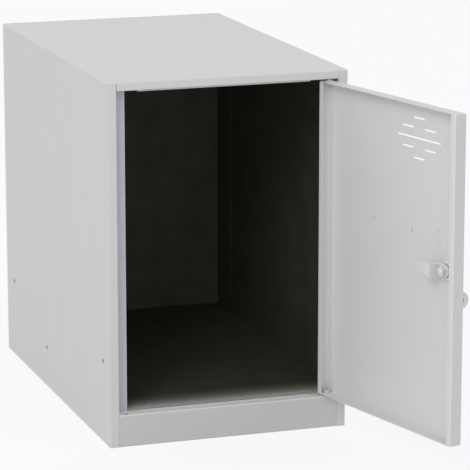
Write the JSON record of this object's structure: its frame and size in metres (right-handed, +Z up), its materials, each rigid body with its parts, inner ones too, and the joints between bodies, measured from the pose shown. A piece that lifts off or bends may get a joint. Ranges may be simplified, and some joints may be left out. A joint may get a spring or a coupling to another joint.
{
  "type": "mini locker",
  "caption": "Small sheet-steel locker with one ventilated pan door on pivot pins, a label holder and a turning padlock latch.",
  "frame": {"origin": "middle of the bottom edge of the back's outer face, on the floor", "axes": "+X to the right seen from the front, +Y from the front to the back and out of the back's outer face, +Z up"},
  "size_m": [0.3758, 0.7561, 0.45],
  "materials": {
    "cabinet_paint": "light grey satin powder coat",
    "stop_paint": "light grey satin powder coat, in the shade of the stile",
    "door_paint": "light grey satin powder coat",
    "plated_steel": "bright zinc plate",
    "latch_metal": "satin die casting",
    "rivet_metal": "dull aluminium",
    "nylon": "natural nylon",
    "label_metal": "bright zinc plate",
    "card": "plain card"
  },
  "bodies": {
    "cabinet": {"left_side_panel": "cabinet_paint", "right_side_panel": "cabinet_paint", "left_stop_angle": "stop_paint", "right_stop_angle": "cabinet_paint", "top_panel": "cabinet_paint", "plinth_rail": "cabinet_paint", "floor_tray": "cabinet_paint", "back_panel": "cabinet_paint", "upper_pivot_plates": "plated_steel", "lower_pivot_plates": "plated_steel", "upper_pivot_pin": "plated_steel", "lower_pivot_pin": "plated_steel", "lower_pivot_washer": "nylon", "left_side_rivets": "rivet_metal", "right_side_rivets": "rivet_metal"},
    "door": {"door_pan": "door_paint", "upper_pivot_bush": "nylon", "lower_pivot_bush": "nylon", "label_holder": "label_metal", "label_card": "card", "label_rivets": "rivet_metal", "latch_body": "latch_metal", "latch_ring_nut": "door_paint", "padlock_staple": "latch_metal", "staple_rivets": "rivet_metal"},
    "latch": {"latch_lever": "latch_metal", "latch_spindle": "plated_steel", "latch_cam": "door_paint", "cam_washer": "door_paint", "cam_nut": "door_paint"}
  },
  "joints": [
    {"name": "door_hinge", "type": "hinge", "parent": "cabinet", "child": "door", "pos_m": [0.1305, -0.494, 0.24], "axis": [0, 0, 1], "range_deg": [-104, 8]},
    {"name": "latch_turn", "type": "hinge", "parent": "door", "child": "latch", "pos_m": [0.1939, -0.72348, 0.247], "axis": [-0.9703, -0.2419, 0], "range_deg": [0, 180]}
  ]
}
